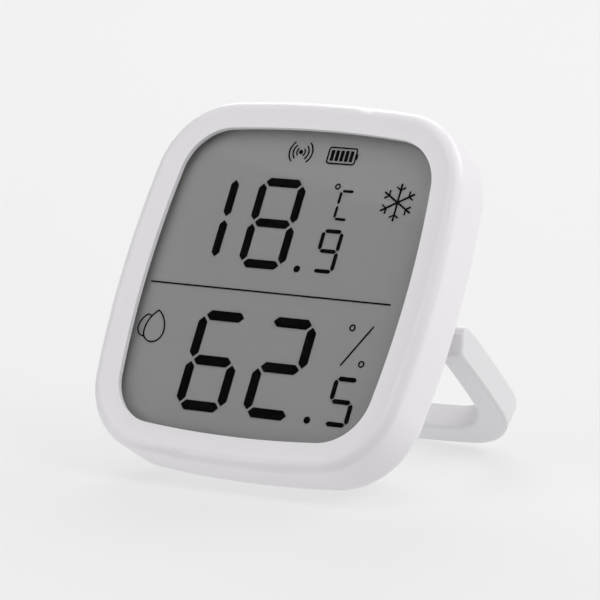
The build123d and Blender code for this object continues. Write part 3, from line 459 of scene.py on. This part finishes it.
def sign(name, body, sides, angle, from_middle, wide=1.0, hollow=False):
    """A printed sign on the back, at an angle round the door from straight up."""
    outward = (up_face * math.cos(angle) + across * math.sin(angle)).normalized()
    place = door_middle + outward * from_middle - out_of_back * SUNK_MM * MM
    laid = Matrix((outward, out_of_back.cross(outward), out_of_back)).transposed().to_4x4()
    shape = bmesh.new()
    bmesh.ops.create_circle(shape, cap_ends=True, segments=sides, radius=SIGN_MM * MM)
    bmesh.ops.rotate(shape, verts=shape.verts, matrix=Matrix.Rotation(-math.pi / 2, 3, "Z"))
    bmesh.ops.scale(shape, verts=shape.verts, vec=(1, wide, 1))
    if hollow:
        bmesh.ops.inset_region(shape, faces=shape.faces, thickness=RING_LINE_MM * MM,
                               use_boundary=True, use_even_offset=True)
        inner = [face for face in shape.faces if len(face.verts) == sides]
        bmesh.ops.delete(shape, geom=inner, context="FACES")
    bmesh.ops.solidify(shape, geom=shape.faces, thickness=INK_MM * MM)
    bmesh.ops.recalc_face_normals(shape, faces=shape.faces)
    deepest = min(vertex.co.z for vertex in shape.verts)
    bmesh.ops.translate(shape, verts=shape.verts, vec=(0, 0, -deepest))
    bmesh.ops.transform(shape, verts=shape.verts, matrix=Matrix.Translation(place) @ laid)
    mesh = bpy.data.meshes.new(name)
    shape.to_mesh(mesh)
    shape.free()
    mesh.materials.append(ink)
    piece = put(name, mesh)
    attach(piece, body)
    return piece


signs = [
    sign("door_pointer", "door", POINTER_SIDES, 0, on_door, wide=POINTER_WIDE),
    sign("locked_dot", "casing", ROUND_SIDES, 0, beside_door),
    sign("unlocked_ring", "casing", ROUND_SIDES, UNLOCKED, beside_door, hollow=True),
]
print("printed", [piece.name for piece in signs], "door's radius in mm", round(door_rim / MM, 2))

# %% [markdown]
# The photograph was taken with a long lens from the right and a little above, and the camera
# was turned a trace. A camera is set here as a photographer would say it: how far round, how
# high, how far away, and at which point it aims. The same two angles later place the lamps.

# %% The camera
AZIMUTH, ELEVATION, ROLL = 34.173, 10.918, -1.541
DISTANCE, LENS_MM, SENSOR_MM = 0.5748, 227.2, 36.0
AIM = Vector((0.0036648, -0.0067922, 0.0269011))
CLIP_NEAR, CLIP_FAR = 0.01, 20.0


def way_out(azimuth, elevation):
    """Unit vectors from the object outwards and level to the right. Azimuth 0 is the front."""
    round_by, up_by = math.radians(azimuth), math.radians(elevation)
    away = Vector((math.sin(round_by) * math.cos(up_by), -math.cos(round_by) * math.cos(up_by),
                   math.sin(up_by)))
    return away, Vector((math.cos(round_by), math.sin(round_by), 0))


back, level = way_out(AZIMUTH, ELEVATION)
right = Matrix.Rotation(math.radians(ROLL), 3, back) @ level
above = back.cross(right)
camera = put("camera", bpy.data.cameras.new("camera"))
camera.data.lens, camera.data.sensor_width = LENS_MM, SENSOR_MM
camera.data.clip_start, camera.data.clip_end = CLIP_NEAR, CLIP_FAR
turn = Matrix((right, above, back)).transposed()
camera.matrix_world = Matrix.Translation(AIM + back * DISTANCE) @ turn.to_4x4()
bpy.context.scene.camera = camera
bpy.context.scene.view_settings.view_transform = "Standard"
print("camera at", [round(v, 3) for v in camera.location])

# %% [markdown]
# The object stands on a light table: a sheet of opal acrylic that is lit from below, so that
# the ground is one pale grey and the shadow under the object stays faint. The sheet is large
# enough to fill the frame.

# %% Light table
TABLE_GLOW = 0.62
TABLE_RADIUS = 4.0
TABLE_SIDES = 64
FROST_MM, FROST_DEPTH_MM = 1.5, 0.05

opal, opal_shader = start("opal_acrylic_matt", {
    "Base Color": linear("#747474"), "Roughness": 0.9, "Emission Color": linear("#ffffff"),
    "Emission Strength": TABLE_GLOW})
opal_place = add(opal, "ShaderNodeTexCoord").outputs["Object"]
frosting = add(opal, "ShaderNodeTexNoise", {"Scale": per_mm(FROST_MM), "Detail": 3.0},
               {"Vector": opal_place})
tooth = add(opal, "ShaderNodeBump", {"Strength": 0.05, "Distance": FROST_DEPTH_MM * MM},
            {"Height": frosting.outputs["Fac"]})
join(opal, tooth.outputs["Normal"], opal_shader, "Normal")

sheet = bmesh.new()
bmesh.ops.create_circle(sheet, cap_ends=True, segments=TABLE_SIDES, radius=TABLE_RADIUS)
floor_mesh = bpy.data.meshes.new("floor")
sheet.to_mesh(floor_mesh)
sheet.free()
floor_mesh.materials.append(opal)
floor = put("floor", floor_mesh)
floor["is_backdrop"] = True
print("light table", 2 * TABLE_RADIUS, "m across")

# %% [markdown]
# Soft light comes from square softboxes that stand on a dome round the object, each a metre
# away and facing it. Their watts were found one at a time: the photograph shows how bright each
# wall is, and each softbox lights some walls more than others. The two sweeps behind the object
# give its top edge the bright rim.

# %% Softboxes on a dome
DOME_RADIUS, SOFTBOX_SIZE = 1.0, 0.6
SOFTBOXES = (
    ("overhead", 0, 90, 2.7),
    ("front_high", 0, 50, 0.5),
    ("right_high", 90, 42, 4.5),
    ("right_behind", 130, 15, 0.7),
    ("right_sweep", 150, 32, 4.0),
    ("left_front", -40, 12, 3.1),
    ("left_sweep", 214, 32, 4.4),
)
middle = Vector((0, 0, (low.z + high.z) / 2))


def softbox(name, place, axes, size, watts):
    """A rectangular area lamp. Its axes point along it, up it, and away from what it lights."""
    made = put(name, bpy.data.lights.new(name, "AREA"))
    made.data.shape = "RECTANGLE"
    made.data.size, made.data.size_y = size
    made.data.energy = watts
    made.matrix_world = Matrix.Translation(place) @ Matrix(axes).transposed().to_4x4()
    return made


def on_dome(name, azimuth, elevation, watts):
    """A square softbox on the dome, facing the object."""
    away, along = way_out(azimuth, elevation)
    return softbox(name, middle + away * DOME_RADIUS, (along, away.cross(along), away),
                   (SOFTBOX_SIZE, SOFTBOX_SIZE), watts)


lamps = [on_dome(*settings) for settings in SOFTBOXES]
print("softboxes", [lamp.name for lamp in lamps])

# %% [markdown]
# The display mirrors the edge of a long white card: a faint slanting line, lighter above than
# below. Where must such a card stand? A ray of the eye goes to the display and is thrown on as
# by a mirror. Two rays, through the two ends of the line in the photograph, meet the card at
# its edge, and a third, above the line, tells on which side of the edge the card lies.

# %% A card that shows in the display
LINE_LEFT, LINE_RIGHT, ABOVE_LINE = (198, 147), (425, 221), (330, 150)
PHOTO_WIDTH = 600
CARD_AWAY, CARD_LONG, CARD_TALL, CARD_WATTS = 0.6, 0.6, 0.3, 0.7

mirror_low, mirror_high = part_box("reflector")
mirror_middle = (mirror_low + mirror_high) / 2


def mirrored(pixel):
    """Where the eye's ray through a place in the photograph goes, once the display mirrors it."""
    eye = camera.matrix_world.translation
    rightwards, downwards = [(part - PHOTO_WIDTH / 2) * SENSOR_MM / LENS_MM / PHOTO_WIDTH for part in pixel]
    ray = right * rightwards - above * downwards - back
    met = eye + ray * ((mirror_middle - eye).dot(out_of_back) / ray.dot(out_of_back))
    return met + ray.reflect(out_of_back).normalized() * CARD_AWAY


edge_start, edge_end, inside = mirrored(LINE_LEFT), mirrored(LINE_RIGHT), mirrored(ABOVE_LINE)
edge = (edge_end - edge_start).normalized()
tall = inside - edge_start
tall = (tall - edge * tall.dot(edge)).normalized()
facing = edge.cross(tall)
if facing.dot(edge_start - mirror_middle) < 0:
    edge, facing = -edge, -facing
card_place = (edge_start + edge_end) / 2 + tall * CARD_TALL / 2
card = softbox("mirrored_card", card_place, (edge, tall, facing), (CARD_LONG, CARD_TALL), CARD_WATTS)
print(card.name, "stands at", [round(v, 3) for v in card_place])

# %% [markdown]
# The studio round the table is nearly dark. A world with a very low, even glow stands for its
# walls: it keeps the deep gaps of the object from turning black, and adds no shadow of its own.

# %% The room round the stage
ROOM_GLOW = 0.02

world = bpy.data.worlds.new("dim_studio")
world.use_nodes = True
walls = world.node_tree.nodes["Background"]
walls.inputs["Color"].default_value = linear("#efeff0")
walls.inputs["Strength"].default_value = ROOM_GLOW
bpy.context.scene.world = world
print("room", world.name)

# %% [markdown]
# Last, the box of the finished model is written beside the box of the engineering model, to
# show that dressing the object didn't change its size.

# %% Compare the sizes and finish
low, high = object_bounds()
print("visual size in mm", [round(1000 * (b - a), 2) for a, b in zip(low, high)])
